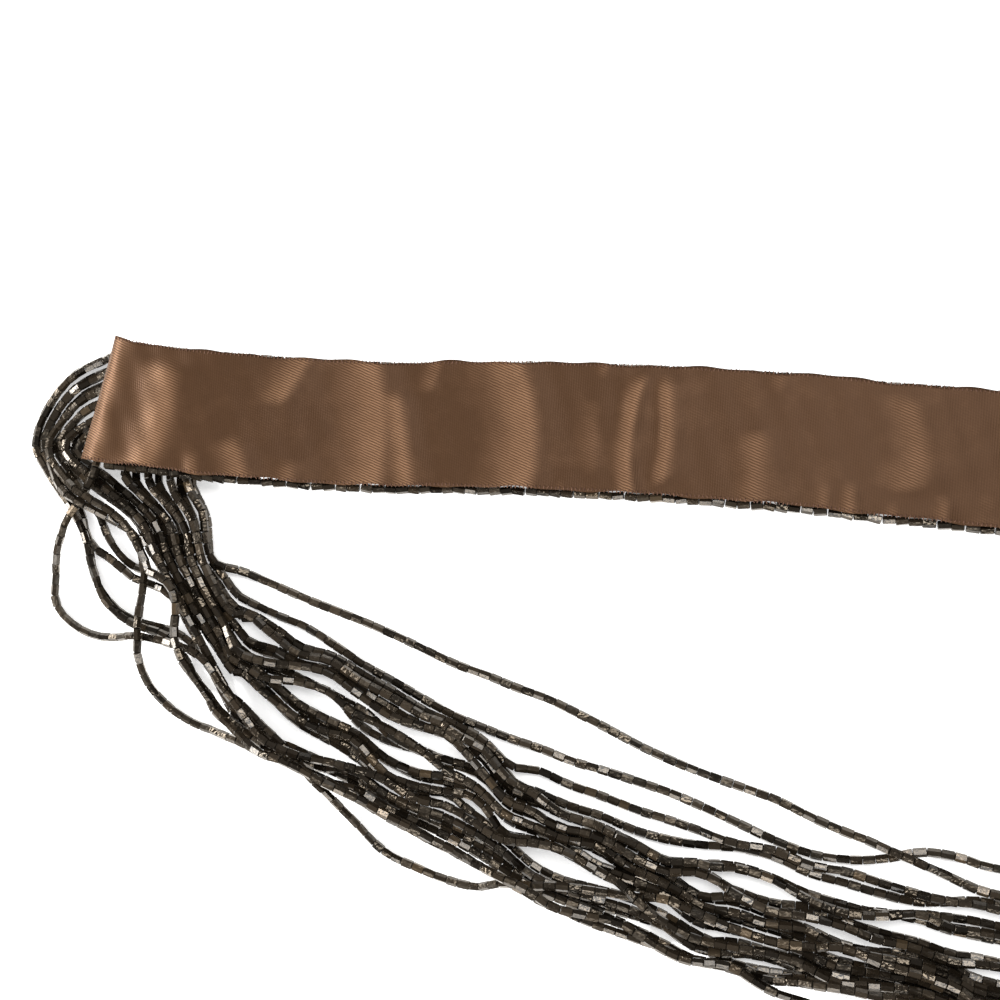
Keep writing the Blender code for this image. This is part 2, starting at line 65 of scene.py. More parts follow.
# Strands, in millimetres, as in the part
LAY_DISTANCE = 2.35
FLOOR_HEIGHT = 1.4
LAY_SLOPE = 0.45
SAMPLE_STEP = 0.8
ROOT_POINTS = 4
CURVE_PIECES = 12

# Root strip under the ribbon's end, in millimetres, as in the part
STRIP_X = 10.0
STRIP_WIDTH = 3.6
STRIP_FROM_Y = 1.0
STRIP_TO_Y = 29.2
STRIP_BOTTOM = 1.2
TIER_HEIGHTS = (2.5, 5.0)

# The origin lies under the middle of the bounding box
ORIGIN_Y = 48.015

# Single beads, in millimetres
BEAD_RADIUS = 1.06
BEAD_LENGTH = (2.55, 3.0)
BEAD_GAP = 0.07
BEAD_THICKNESS = (0.94, 1.03)
BEAD_SIDES = 6
BEAD_BEVEL = 0.14
BEAD_END = 0.8

# Rings of one bead: place along it as a share of its length, extra place, share of the radius, and 1 at the
# ends, where shade between the beads is painted, else 0
BEAD_RINGS = (
    (-0.5, 0.0, BEAD_END, 1.0),
    (-0.5, BEAD_BEVEL, 1.0, 0.0),
    (0.5, -BEAD_BEVEL, 1.0, 0.0),
    (0.5, 0.0, BEAD_END, 1.0),
)

# Ribbon shell, in millimetres
SHELL_WALL = 0.4
SHELL_TOP = FACE_THICKNESS + SEAM_GAP + 0.75
END_CURL = 1.1
END_CURL_REACH = 2.4
RIBBON_COLUMNS = 820
RIBBON_ROWS = 38
FOLD_FADE = 4.0
EDGE_SHARE = 0.1
UV_SIZE = 100

# Small ripples all over the ribbon: height, then radians in a millimetre along it and across it
RIPPLES = ((0.05, 0.9, 0.35), (0.04, 0.37, -0.7))

# Waves of the ribbon's two edges: width, radians in a millimetre along it, shift in radians
EDGE_WAVES = ((0.25, 0.21, 0.0), (0.18, 0.53, 1.0))

# Painted sheen of the folds, a highlight laid into the satin's colour: its reach as a share of the near flank
# and of the far one, and its gain with height
SHEEN_REACH = 0.95
SHEEN_PAST_RIDGE = 0.4
SHEEN_GAIN = 1.25
# Painted highlight along both ends of the ribbon, laid into the satin's colour: its strength, and its reach
# in millimetres
END_SHEEN = 0.6
END_SHEEN_REACH = 4.5

# Selvedge stitches, in millimetres
TICK_PITCH = 0.95
TICK_INSET = 0.25
TICK_START = 0.6
TICK_REACH = (0.34, 0.5)
TICK_LEAN = 0.22
TICK_RISE = 0.02
TICK_DROP = 0.35
TICK_SIDES = 5

# Rings of one stitch: share of its reach, radius
TICK_RINGS = ((-1.0, 0.06), (-0.5, 0.15), (0.5, 0.16), (1.0, 0.08))

# Root tapes: ribs along each, sides, and size between the ribs
TAPE_RIBS = 26
TAPE_SIDES = 8
TAPE_WAIST = 0.92

# Camera: over the near end's right, 325 mm above the table, tilted to the left and rolled a little
CAMERA_AT = (184.4, 1.65, 325.0)
CAMERA_LOOKS_AT = (109.5, -3.45, 0.0)
CAMERA_ROLL = 3.9
CAMERA_LENS = 50.4
CAMERA_SENSOR = 36
CAMERA_CLIP = 0.01

# Sway of the ribbon's front edge: along the band, sideways, in millimetres
SWAY = (
    (0, 0.0), (20, -1.0), (40, -2.0), (62, -2.3), (80, -2.0), (100, -0.8), (120, 0.0), (150, 0.4),
    (178, 0.1), (200, -1.0), (230, -2.0), (270, -1.4), (330, -0.6),
)

# Folds of the ribbon, each a soft ridge across it.
# X at its front edge, middle and back edge, width of the near and far flank, height, from Y, to Y
FOLDS = (
    (9.0, 11.6, 14.0, 2.8, 5.0, 0.50, -4, 34),
    (22.5, 27.5, 25.5, 6.0, 7.0, 0.95, -4, 27),
    (35.6, 34.8, 34.0, 2.2, 3.6, 0.45, -4, 6.5),
    (48.0, 43.5, 40.0, 3.8, 4.0, 0.65, -4, 10.5),
    (46.0, 53.5, 61.5, 5.0, 4.0, 0.75, 17, 34),
    (59.2, 57.8, 56.0, 2.4, 3.4, 0.50, -4, 6.5),
    (79.0, 79.6, 77.0, 8.0, 5.0, 0.85, -4, 34),
    (87.2, 84.6, 81.5, 2.8, 4.4, 0.80, -4, 24),
    (84.0, 88.6, 93.0, 2.6, 3.0, 0.40, 21, 34),
    (97.0, 96.0, 95.0, 1.6, 2.5, 0.22, -4, 3.5),
    (115.6, 116.2, 111.8, 8.5, 5.0, 1.00, -4, 34),
    (124.6, 123.6, 123.0, 1.5, 2.2, 0.25, -4, 4),
    (130.6, 131.4, 131.0, 3.4, 4.0, 0.22, 3, 23),
    (132.6, 132.6, 133.2, 1.7, 2.2, 0.35, 25, 34),
    (140.8, 139.8, 143.2, 2.6, 2.4, 0.75, -4, 28.5),
    (146.8, 148.5, 146.6, 1.7, 4.0, 0.70, 1, 28.5),
    (169.2, 168.6, 167.0, 3.6, 6.0, 0.42, -4, 18),
    (172.6, 172.6, 173.2, 2.6, 3.0, 0.18, 23, 34),
    (184.6, 184.2, 184.0, 2.0, 3.0, 0.32, -4, 7),
    (190.3, 189.8, 189.0, 1.9, 3.0, 0.42, -4, 8),
    (200.0, 204.0, 199.0, 5.0, 6.0, 0.35, 4, 28),
    (199.6, 199.2, 199.0, 1.6, 2.4, 0.24, -4, 5),
    (210.4, 210.2, 210.0, 1.5, 2.6, 0.28, -4, 6.5),
    (238.0, 240.5, 243.0, 6.0, 6.0, 0.50, -4, 34),
    (263.0, 260.5, 261.0, 5.0, 7.0, 0.40, -4, 19),
    (290.0, 293.5, 291.0, 6.0, 6.0, 0.50, -4, 34),
    (318.0, 316.0, 318.5, 4.0, 5.0, 0.40, 8, 34),
)

# Rows of sewn beads, in millimetres
FRONT_ROW_Y = -0.8
FRONT_ROW_WOBBLE = 0.28
BACK_ROW_X = 20.2
BACK_ROW_Y = 28.8
BACK_ROW_WOBBLE = 0.12
FACE_ROWS = 11
FACE_ROW_WOBBLE = 0.05
FACE_PAST_STRIP = 3.2
PAIR_GAP = 0.35
ROW_END_ROOM = 3

# Seeds of the chance differences
FRONT_ROW_SEED = 11
BACK_ROW_SEED = 12
FACE_ROW_SEED = 20
TICK_SEED = 5

# Weave of the satin, in millimetres and degrees. A wave texture of scale WAVE_PER_MM has a 1 mm pitch.
TWILL_PITCH = 0.6
TWILL_TURN = 20
RIB_PITCH = 0.55
WAVE_PER_MM = 0.31416
IN_MM = (1000, 1000, 1000)

# Colours, linear
# The satin's colour runs from SATIN_DARK to SATIN_LIGHT with its weave and its painted sheen
SATIN_DARK = (0.0455, 0.0214, 0.0099, 1)
SATIN_LIGHT = (0.305, 0.168, 0.093, 1)
BEAD_DARK = (0.005, 0.0037, 0.0026, 1)
BEAD_MIDDLE = (0.035, 0.0255, 0.0165, 1)
BEAD_GLINT = (1, 0.85, 0.66, 1)
BEAD_GOLD = (0.075, 0.052, 0.03, 1)
THREAD_DARK = (0.060, 0.026, 0.016, 1)
THREAD_LIGHT = (0.165, 0.086, 0.054, 1)
FLOOR_WHITE = (0.93, 0.93, 0.92, 1)

# Strength of the white room and of the floor's glow, and half the floor's width in metres
ROOM_LIGHT = 0.24
FLOOR_GLOW = 0.49
FLOOR_SIZE = 4.0

# Lights: name, place and target in design millimetres, size in metres, power in watts
LIGHTS = (
    ("left_panel", (-420, 40, 300), (90, -20, 0), (0.14, 0.4), 5.4),
    ("front_strip", (110, -430, 260), (110, -40, 0), (0.8, 0.10), 2.3),
    ("top_strip", (230, 130, 470), (150, -20, 0), (0.30, 0.11), 1.45),
)

# Strands in the order they are laid, so each rests on the ones before it.
# name, tier of its root, root's Y on the strip, reach (X of the loop's outer turn, None when it leaves
# the strip to the right), then its X where it passes the band's front edge (Y -5), Y -14 and the neck (Y -24)
STRANDS = (
    ("a0", 0, 28.2, -13.0, -8.6, None, None),
    ("a2", 0, 21.4, -8.0, -2.2, None, None),
    ("a7", 0, 11.8, -3.0, 4.8, 18.6, 24.6),
    ("a9", 0, 6.0, None, 13.4, 23.0, 27.9),
    ("a11", 0, 13.0, None, 19.2, 27.4, 31.2),
    ("a13", 0, 20.0, None, 25.0, 31.4, 34.5),
    ("a15", 0, 27.0, None, 30.8, None, None),
    ("b1", 0, 24.8, -10.5, -5.4, None, None),
    ("b6", 0, 16.8, -5.5, 1.2, 16.2, 23.0),
    ("b8", 0, 7.4, -0.5, 8.4, 20.8, 26.3),
    ("b10", 0, 9.5, None, 16.2, 25.2, 29.6),
    ("b12", 0, 16.5, None, 22.2, 29.4, 32.9),
    ("b14", 0, 23.5, None, 28.0, 33.0, 36.0),
    ("b16", 1, 27.6, None, 30.2, None, None),
    ("cu", 1, 27.4, -11.8, -7.0, None, None),
    ("ct", 1, 16.0, -4.3, 3.0, 17.6, 24.6),
    ("cs", 1, 8.6, 0.7, 10.2, 22.4, 27.9),
    ("cr", 1, 8.0, None, 14.8, 26.6, 31.2),
    ("cq", 1, 15.0, None, 20.7, 30.4, 34.5),
    ("cp", 1, 22.0, None, 26.5, 33.6, 37.2),
    ("stray", 1, 12.2, -1.8, 6.6, 19.6, 26.2),
    ("loop", 1, 4.6, None, None, None, None),
    ("fall", 1, 23.4, -9.3, -3.8, None, None),
    ("side", 1, 19.6, -6.8, -0.5, 15.0, 22.6),
)

# Routes of the loose loops between the band and the first station: X, Y
LOOSE = {
    "a0": ((-0.6, -14), (3, -20), (4.2, -25), (5.6, -30), (8.4, -34.2), (12, -37.6), (16, -39.6),
           (20.5, -40.8), (25.5, -41.4), (30.8, -43), (35.6, -46.2), (40, -50.8)),
    "a2": ((5.8, -14), (7.6, -17.8), (9.6, -21), (13, -24.6), (17, -26.9), (22, -28), (26.5, -29.8),
           (31, -33.8), (38, -42.6)),
    "a15": ((33, -8.6), (35.2, -12.8), (36, -17), (36.4, -20.5), (37.8, -24.6), (40.6, -28.6)),
    "b1": ((1.8, -14), (3.6, -19), (6.4, -22.8), (10, -24.8), (14, -27.2), (18, -29.8), (22.5, -30.9),
           (27, -32.4), (31.4, -37.2), (36.8, -45)),
    "b16": ((34.6, -10.4), (35.8, -14.6), (36.2, -18.8), (37.4, -22), (40, -24.2)),
    "cu": ((1.2, -14), (4.8, -19.9), (6.3, -24.8), (7.3, -29.7), (9.1, -34.3), (12.6, -37.8), (16.4, -40),
           (20.5, -41.4), (25, -42.2), (29.2, -44.2), (32.3, -48.6), (35.8, -54)),
    "loop": ((8.4, 3), (8.3, -1.6), (7, -6.1), (4, -10.9), (1.4, -14.4), (-0.4, -18.2), (-2.8, -22.6),
             (-4.4, -27), (-5.1, -31.5), (-5.3, -36), (-3.6, -39.5), (-0.6, -42), (3.2, -44), (8, -45.1),
             (13, -44.8), (19, -43.6), (25, -43.8), (31, -44.5), (37.2, -45.2), (42.2, -48.4)),
    "fall": ((0, -8.6), (4.6, -10.8), (8.2, -12.5), (11.8, -14.4), (15.1, -16.4), (19, -19),
             (20.4, -22.8), (20.8, -27), (20.5, -31), (20.4, -35), (20.9, -39), (21.6, -43), (21.7, -47),
             (22.2, -51), (23.2, -54.8), (25.4, -58.4), (28, -60.8), (31.5, -62.8), (37, -64.9)),
    "side": ((23.6, -26.4), (27.4, -27.6), (30.4, -29.4), (32.2, -32.2), (32.8, -36), (32.4, -40.5),
             (34, -45), (36.2, -49.2), (38.8, -53.6), (42.2, -59.4)),
}

# Lines across the strands' way, as Y: past the band's front edge, halfway to the neck, and the neck
EDGE_Y = -5.0
UPPER_Y = -14.0
NECK_Y = -24.0

# Turns of a strand that leaves the strip to the right, between its root and the band's front edge:
# share of the way along X, extra X, share of the root's Y, extra Y
RIGHT_TURNS = ((0.55, 1.5, 0.72, 0.0), (1.0, -0.6, 0.22, -1.0))

# Turns of a strand that loops out to the left: share of the way to its reach, share of the way back in Y
LOOP_TURNS = ((0.36, 0.89), (0.75, 0.6))
LOOP_LOW_Y = 5.0
LOOP_NEST = 0.2
LOOP_ROOT_Y = 28.0

# How far each strand lies below the ribbon's front edge at each station along the band
STATIONS = (45, 50, 56, 63, 71, 79, 87, 95, 102, 110, 117, 124, 131, 139, 147, 155, 163, 171, 179, 187,
            195, 203, 211, 219, 227, 262, 296, 330)
DEPTHS = {
    "a15": (31.6, 33.6, 35.7, 37.7, 41.6, 45.8, 49.1, 52.7, 55.6, 57.9, 59.8, 61.3, 63.3, 64.7, 66.4,
            68.2, 70.7, 73.4, 76.2, 78.2, 78.5, 77.3, 74.8, 75.0, 76.5, 79.0, 82.0, 83.0),
    "a13": (36.2, 37.0, 41.0, 44.6, 45.7, 49.6, 53.0, 56.4, 58.4, 62.2, 69.6, 71.6, 73.8, 75.3, 77.7,
            78.9, 79.2, 78.8, 79.9, 82.5, 83.8, 85.2, 86.0, 84.8, 84.2, 88.0, 90.6, 91.4),
    "a11": (40.2, 44.2, 45.4, 47.6, 48.2, 53.6, 57.6, 59.4, 60.9, 65.2, 72.4, 74.2, 76.4, 78.4, 81.6,
            84.4, 85.2, 88.8, 90.3, 90.2, 90.2, 89.3, 89.8, 91.4, 92.0, 95.6, 98.0, 99.0),
    "a9": (43.4, 46.8, 49.2, 51.4, 53.3, 60.4, 63.6, 64.8, 67.2, 69.4, 75.4, 77.4, 80.4, 81.6, 85.0, 87.4,
           91.2, 91.2, 93.2, 95.0, 97.6, 98.2, 97.6, 98.8, 101.6, 104.0, 105.6, 106.4),
    "a7": (46.6, 49.4, 53.0, 58.1, 61.2, 64.6, 68.6, 71.2, 71.8, 73.8, 79.0, 80.8, 82.6, 86.8, 88.4, 90.4,
           94.4, 95.0, 96.4, 98.2, 102.0, 101.6, 101.0, 102.4, 104.8, 108.6, 111.0, 112.0),
    "a2": (50.0, 51.4, 56.6, 61.6, 64.8, 68.6, 73.4, 76.0, 77.6, 80.6, 84.2, 89.0, 91.4, 92.4, 93.6, 96.4,
           100.9, 100.4, 101.4, 102.4, 104.6, 104.6, 104.6, 106.0, 108.4, 112.6, 115.6, 117.0),
    "a0": (60.0, 63.4, 67.0, 68.8, 71.8, 74.4, 77.6, 80.4, 82.4, 85.6, 88.8, 92.6, 94.6, 96.2, 97.4, 98.8,
           102.2, 105.2, 106.0, 106.0, 106.0, 107.4, 108.2, 110.0, 112.4, 117.4, 120.2, 121.4),
    "b16": (25.2, 26.8, 28.7, 31.0, 33.2, 35.5, 38.1, 41.0, 43.4, 45.4, 47.5, 49.2, 51.7, 54.8, 58.1,
            60.8, 63.1, 65.0, 67.0, 70.1, 72.6, 74.6, 77.0, 80.2, 82.0, 84.6, 86.4, 87.4),
    "b14": (34.0, 35.6, 38.6, 42.6, 43.9, 47.6, 51.0, 54.8, 57.0, 60.2, 65.6, 66.5, 68.9, 70.7, 72.9,
            74.4, 76.2, 77.5, 78.0, 80.4, 81.2, 82.8, 83.9, 84.4, 84.8, 90.4, 93.6, 95.0),
    "b12": (38.4, 43.0, 43.6, 46.4, 47.5, 51.4, 55.2, 58.4, 60.0, 63.8, 70.8, 72.8, 75.6, 77.2, 80.2,
            83.2, 83.0, 83.1, 84.6, 87.3, 88.2, 89.0, 88.0, 88.5, 89.0, 93.6, 98.4, 100.4),
    "b10": (41.8, 45.4, 47.2, 49.9, 52.8, 56.2, 61.6, 64.5, 66.0, 67.8, 74.0, 76.0, 79.8, 80.4, 83.6,
            86.0, 90.2, 89.6, 91.6, 91.4, 91.6, 93.8, 94.7, 96.4, 96.8, 100.0, 103.6, 105.0),
    "b8": (45.0, 47.8, 51.2, 56.3, 59.5, 62.4, 67.4, 69.8, 70.0, 72.2, 77.4, 79.2, 81.2, 82.9, 87.0, 89.2,
           93.0, 93.6, 94.8, 96.4, 97.8, 98.2, 98.6, 100.0, 102.6, 106.4, 109.0, 110.4),
    "b6": (48.4, 49.4, 54.8, 59.9, 62.9, 66.6, 72.0, 74.0, 74.6, 78.7, 82.0, 82.4, 84.0, 87.8, 90.2, 91.8,
           96.6, 97.8, 98.6, 100.2, 102.8, 101.2, 102.0, 103.4, 105.6, 110.6, 113.6, 115.0),
    "b1": (56.6, 61.4, 65.4, 67.4, 70.0, 72.4, 76.2, 78.8, 80.6, 83.4, 86.6, 90.8, 93.0, 94.6, 96.0, 98.0,
           102.2, 102.2, 102.2, 104.2, 105.4, 104.2, 105.4, 107.4, 109.8, 115.0, 118.4, 119.4),
    "cp": (35.0, 35.6, 39.8, 44.0, 44.8, 48.8, 52.0, 55.6, 59.4, 61.4, 68.2, 71.2, 75.0, 76.4, 79.4, 82.6,
           82.8, 82.9, 84.4, 87.8, 89.2, 88.9, 87.4, 90.0, 90.4, 92.4, 95.0, 96.6),
    "cq": (40.8, 44.8, 46.0, 46.8, 47.6, 52.0, 56.4, 58.0, 59.6, 66.4, 73.2, 75.2, 79.4, 79.4, 82.6, 85.2,
           84.7, 88.2, 91.0, 91.2, 92.2, 94.6, 95.6, 97.4, 97.2, 98.0, 101.0, 102.8),
    "cr": (44.2, 47.6, 50.2, 50.6, 52.0, 57.0, 59.8, 63.3, 67.9, 71.2, 76.6, 78.4, 80.6, 81.2, 85.4, 88.2,
           92.2, 92.4, 94.0, 94.2, 97.2, 98.0, 98.4, 100.4, 103.2, 105.4, 107.4, 108.8),
    "cs": (47.6, 49.6, 54.4, 59.0, 62.0, 63.6, 70.4, 72.6, 73.2, 74.2, 81.2, 81.8, 83.4, 86.4, 88.0, 90.4,
           94.2, 96.6, 98.0, 99.2, 102.4, 102.0, 101.6, 103.6, 106.0, 109.6, 112.4, 113.8),
    "ct": (55.8, 59.8, 64.6, 68.0, 71.0, 70.6, 75.0, 77.6, 79.0, 82.0, 85.4, 90.0, 92.2, 93.6, 94.8, 97.2,
           101.4, 101.8, 100.8, 103.2, 104.9, 104.6, 105.2, 107.0, 109.4, 114.0, 117.0, 118.4),
    "cu": (61.6, 64.6, 67.8, 70.6, 74.6, 75.4, 78.8, 81.6, 83.8, 87.0, 90.2, 93.4, 95.4, 97.2, 99.4,
           102.9, 104.8, 104.4, 106.6, 105.0, 105.4, 106.3, 109.2, 111.0, 113.4, 119.0, 122.0, 123.0),
    "loop": (52.2, 57.4, 64.2, 66.6, 68.4, 69.6, 71.2, 75.2, 76.4, 79.4, 82.0, 82.0, 82.6, 85.8, 89.6,
             95.4, 99.0, 99.8, 99.8, 101.2, 103.8, 103.4, 103.6, 105.2, 107.4, 111.4, 114.4, 116.0),
    "fall": (66.2, 66.9, 68.9, 69.2, 72.3, 75.9, 80.2, 83.3, 86.6, 89.0, 90.6, 93.0, 96.4, 99.6, 101.2,
             103.0, 104.2, 104.6, 106.2, 104.6, 104.3, 104.8, 105.6, 107.8, 111.0, 116.2, 119.0, 120.4),
    "side": (61.8, 64.6, 67.6, 68.6, 71.4, 75.2, 79.0, 82.0, 85.0, 87.8, 89.6, 91.6, 95.2, 97.2, 98.8,
             102.2, 103.6, 103.4, 107.2, 109.6, 112.8, 116.4, 118.4, 119.6, 120.6, 123.0, 124.8, 125.4),
    "stray": (52.6, 57.3, 62.2, 67.0, 75.0, 83.8, 90.2, 92.9, 94.8, 95.6, 92.9, 92.1, 91.2, 91.4, 92.0,
              90.8, 93.0, 95.6, 97.2, 97.4, 96.1, 98.4, 99.8, 101.4, 104.0, 102.6, 104.8, 106.8),
}


def smooth_step(value):
    value = min(max(value, 0.0), 1.0)
    return value * value * (3 - 2 * value)


def mirrored_x(x):
    """The band's far half repeats the near half."""
    return x if x <= HALF else BELT_LENGTH - x


def sway(x):
    """Sideways place of the ribbon's front edge."""
    x = mirrored_x(x)
    places = [row[0] for row in SWAY]
    after = min(max(bisect.bisect_right(places, x), 1), len(SWAY) - 1)
    (x0, y0), (x1, y1) = SWAY[after - 1], SWAY[after]
    return y0 + (y1 - y0) * smooth_step((x - x0) / (x1 - x0))


def band_lift(x):
    """Height of the band's underside: raised on the strands at its ends, flat on the table between."""
    x = mirrored_x(x)
    return END_LIFT * (1 - smooth_step((x - LIFT_FLAT_TO) / (LIFT_DOWN_AT - LIFT_FLAT_TO)))


def catmull(points, pieces):
    """A smooth curve through points, as closely spaced places."""
    ends = [2 * points[0] - points[1]] + points + [2 * points[-1] - points[-2]]
    result = []
    for i in range(1, len(ends) - 2):
        p0, p1, p2, p3 = ends[i - 1:i + 3]
        for j in range(pieces):
            t = j / pieces
            result.append(0.5 * ((2 * p1) + (p2 - p0) * t + (2 * p0 - 5 * p1 + 4 * p2 - p3) * t * t
                                 + (3 * p1 - p0 - 3 * p2 + p3) * t * t * t))
    result.append(points[-1].copy())
    return result


def strip_x(y):
    return STRIP_X + END_SLANT * y


def start_of(root_y, reach, front_x):
    """The first stretch of a strand, from the root strip to the band's front edge."""
    root = Vector((strip_x(root_y), root_y))
    if reach is None:
        span = front_x - root.x
        turns = [Vector((root.x + share * span + extra, across * root_y + drop))
                 for share, extra, across, drop in RIGHT_TURNS]
    else:
        low = LOOP_LOW_Y - LOOP_NEST * (LOOP_ROOT_Y - root_y)
        turns = [Vector((root.x + share * (reach - root.x), low + across * (root_y - low)))
                 for share, across in LOOP_TURNS]
        turns.append(Vector((reach, low)))
    return [root] + turns + [Vector((front_x, EDGE_Y))]


def route(row):
    """A strand's way in plan, from its root to the belt's middle."""
    name, _, root_y, reach, front_x, upper_x, neck_x = row
    if front_x is None:
        points = [Vector((strip_x(root_y), root_y))]
    else:
        points = start_of(root_y, reach, front_x)
    if upper_x is not None:
        points += [Vector((upper_x, UPPER_Y)), Vector((neck_x, NECK_Y))]
    points += [Vector(place) for place in LOOSE.get(name, ())]
    points += [Vector((x, -depth)) for x, depth in zip(STATIONS, DEPTHS[name])]
    return points


def spread(points, deck):
    """Move a strand sideways, clear of the strands already laid in its deck."""
    near = {}
    for x, y in deck:
        near.setdefault(cell_of(x, y), []).append(Vector((x, y)))
    for point in points[ROOT_POINTS:]:
        column, line = cell_of(point.x, point.y)
        cells = [(column + i, line + j) for i in (-1, 0, 1) for j in (-1, 0, 1)]
        others = [place for cell in cells for place in near.get(cell, ())]
        if not others:
            continue
        closest = min(others, key=lambda place: (place - point).length)
        away = point - closest
        if 0.01 < away.length < LAY_DISTANCE:
            point.xy = closest + away.normalized() * (LAY_DISTANCE + 0.05)
    return points


def samples(points, heights):
    """Closely spaced places along straight pieces, with their height and piece number."""
    found = []
    for number, (before, after) in enumerate(zip(points, points[1:])):
        count = max(2, round((after - before).length / SAMPLE_STEP))
        for i in range(count):
            share = i / count
            place = before.lerp(after, share)
            height = heights[number] + (heights[number + 1] - heights[number]) * share
            found.append((place.x, place.y, height, number))
    return found


def cell_of(x, y):
    return (math.floor(x / LAY_DISTANCE), math.floor(y / LAY_DISTANCE))


def rest_heights(points, root_height, laid):
    """Heights at which a strand rests on the floor and on the strands already laid."""
    needs = [FLOOR_HEIGHT] * len(points)
    for x, y, _, number in samples(points, needs):
        column, line = cell_of(x, y)
        for cell in [(column + i, line + j) for i in (-1, 0, 1) for j in (-1, 0, 1)]:
            for other_x, other_y, other_z in laid.get(cell, ()):
                apart = (x - other_x) ** 2 + (y - other_y) ** 2
                if apart < LAY_DISTANCE ** 2:
                    need = other_z + math.sqrt(LAY_DISTANCE ** 2 - apart)
                    needs[number] = max(needs[number], need)
                    needs[number + 1] = max(needs[number + 1], need)
    needs[0] = root_height
    for order in (range(1, len(points)), range(len(points) - 2, 0, -1)):
        for i in order:
            neighbour = i - 1 if order.step > 0 else i + 1
            reach = (points[i] - points[neighbour]).length
            needs[i] = max(needs[i], needs[neighbour] - LAY_SLOPE * reach)
    return needs


def even_points(points):
    """Places along a strand one bead apart, with small chance differences in the beads' length."""
    fine = catmull(points, CURVE_PIECES)
    chance = random.Random(len(fine))
    places = [fine[0]]
    wanted = chance.uniform(*BEAD_LENGTH) + BEAD_GAP
    run = 0.0
    for before, after in zip(fine, fine[1:]):
        length = (after - before).length
        while run + length >= wanted and length > 0:
            share = (wanted - run) / length
            before = before.lerp(after, share)
            places.append(before)
            length = (after - before).length
            run = 0.0
            wanted = chance.uniform(*BEAD_LENGTH) + BEAD_GAP
        run += length
    places[-1] = fine[-1]
    return places


def lay_bead_strings():
    """The near strands again, one straight piece for each bead, laid one on another as in the part.

    A strand's first letter names its deck. The loose strands have none, so they keep their places.
    """
    laid = {}
    decks = {"a": [], "b": [], "c": []}
    strings = {}
    for row in STRANDS:
        points = even_points(route(row))
        deck = decks.get(row[0][0], [])
        points = spread(points, deck)
        heights = rest_heights(points, TIER_HEIGHTS[row[1]], laid)
        for x, y, z, _ in samples(points, heights):
            laid.setdefault(cell_of(x, y), []).append((x, y, z))
            deck.append((x, y))
        strings[row[0]] = [Vector((point.x, point.y, z)) for point, z in zip(points, heights)]
    return strings


def new_mesh(name, verts, faces, material, smooth=False, tones=None):
    """One joined mesh from arrays of places, in design millimetres, and faces."""
    places = np.asarray(verts, dtype=float)
    places[:, 0] -= HALF
    places[:, 1] += ORIGIN_Y
    mesh = bpy.data.meshes.new(name)
    mesh.from_pydata((places * MM).tolist(), [], faces)
    mesh.materials.append(material)
    if smooth:
        mesh.shade_smooth()
    if tones is not None:
        layer = mesh.attributes.new("tone", "FLOAT_COLOR", "POINT")
        layer.data.foreach_set("color", np.asarray(tones, dtype=float).ravel())
    mesh.update()
    thing = bpy.data.objects.new(name, mesh)
    bpy.context.scene.collection.objects.link(thing)
    return thing


def finish_piece(thing, slot, *nodes):
    """Every piece rides on the root, and some take the place of a solid."""
    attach(thing, "root")
    if nodes:
        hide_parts(*nodes)


def tube_faces(first, rings, sides, flip=False):
    """Faces of a closed tube whose rings of points start at a point's number. A mirrored tube is flipped."""
    faces = []
    for ring in range(rings - 1):
        for i in range(sides):
            a = first + ring * sides + i
            b = first + ring * sides + (i + 1) % sides
            faces.append((b, a, a + sides, b + sides) if flip else (a, b, b + sides, a + sides))
    near_cap = tuple(first + i for i in range(sides))
    far_cap = tuple(first + (rings - 1) * sides + i for i in range(sides))
    faces.append(near_cap if flip else near_cap[::-1])
    faces.append(far_cap[::-1] if flip else far_cap)
    return faces


def make_beads(name, beads, material):
    """A joined mesh of hexagonal cut beads. Each bead is its two ends and a chance roll."""
    chance = random.Random(name)
    verts = []
    faces = []
    tones = []
    for start, end in beads:
        along = end - start
        length = along.length - BEAD_GAP / 2
        along.normalize()
        side = along.cross(Vector((0, 0, 1))).normalized()
        up = side.cross(along)
        middle = (start + end) / 2
        roll = chance.uniform(0, math.tau)
        radius = BEAD_RADIUS * chance.uniform(*BEAD_THICKNESS)
        tone = (chance.random(), chance.random())
        faces += tube_faces(len(verts), len(BEAD_RINGS), BEAD_SIDES)
        for share, extra, grow, dark in BEAD_RINGS:
            centre = middle + along * (share * length + extra)
            for i in range(BEAD_SIDES):
                angle = roll + math.tau * i / BEAD_SIDES
                verts.append(centre + (side * math.cos(angle) + up * math.sin(angle)) * (radius * grow))
                # Blue of the tone is 1 at the bead's ends, where the material paints shade between the beads
                tones.append((*tone, dark, 1.0))
    return new_mesh(name, verts, faces, material, tones=tones)


def far_side(place):
    return Vector((BELT_LENGTH - place.x, place.y, place.z))


def make_strings(strings, material):
    """All strands' beads, a joined mesh for each end and each half of the strands."""
    names = list(strings)
    half = len(names) // 2
    for end, turn in (("left", None), ("right", far_side)):
        for part, chosen in (("lower", names[:half]), ("upper", names[half:])):
            beads = []
            for name in chosen:
                places = strings[name]
                if turn:
                    places = [turn(place) for place in places]
                beads += list(zip(places, places[1:]))
            piece = make_beads(f"bead_strings_{end}_{part}", beads, material)
            finish_piece(piece, "beads", "strands_" + end)


def row_beads(first, y, wobble, seed):
    """Beads of one lengthwise row on the band, in pairs with small gaps between the pairs."""
    chance = random.Random(seed)
    beads = []
    x = first
    while x < BELT_LENGTH - first - ROW_END_ROOM:
        for _ in range(2):
            length = chance.uniform(*BEAD_LENGTH) + BEAD_GAP
            tilt = chance.uniform(-wobble, wobble)
            ends = []
            for place, turn in ((x, -tilt), (x + length, tilt)):
                height = band_lift(place) + FACE_THICKNESS / 2
                ends.append(Vector((place, y + sway(place) + turn, height)))
            beads.append(tuple(ends))
            x += length
        x += chance.uniform(0.0, PAIR_GAP)
    return beads


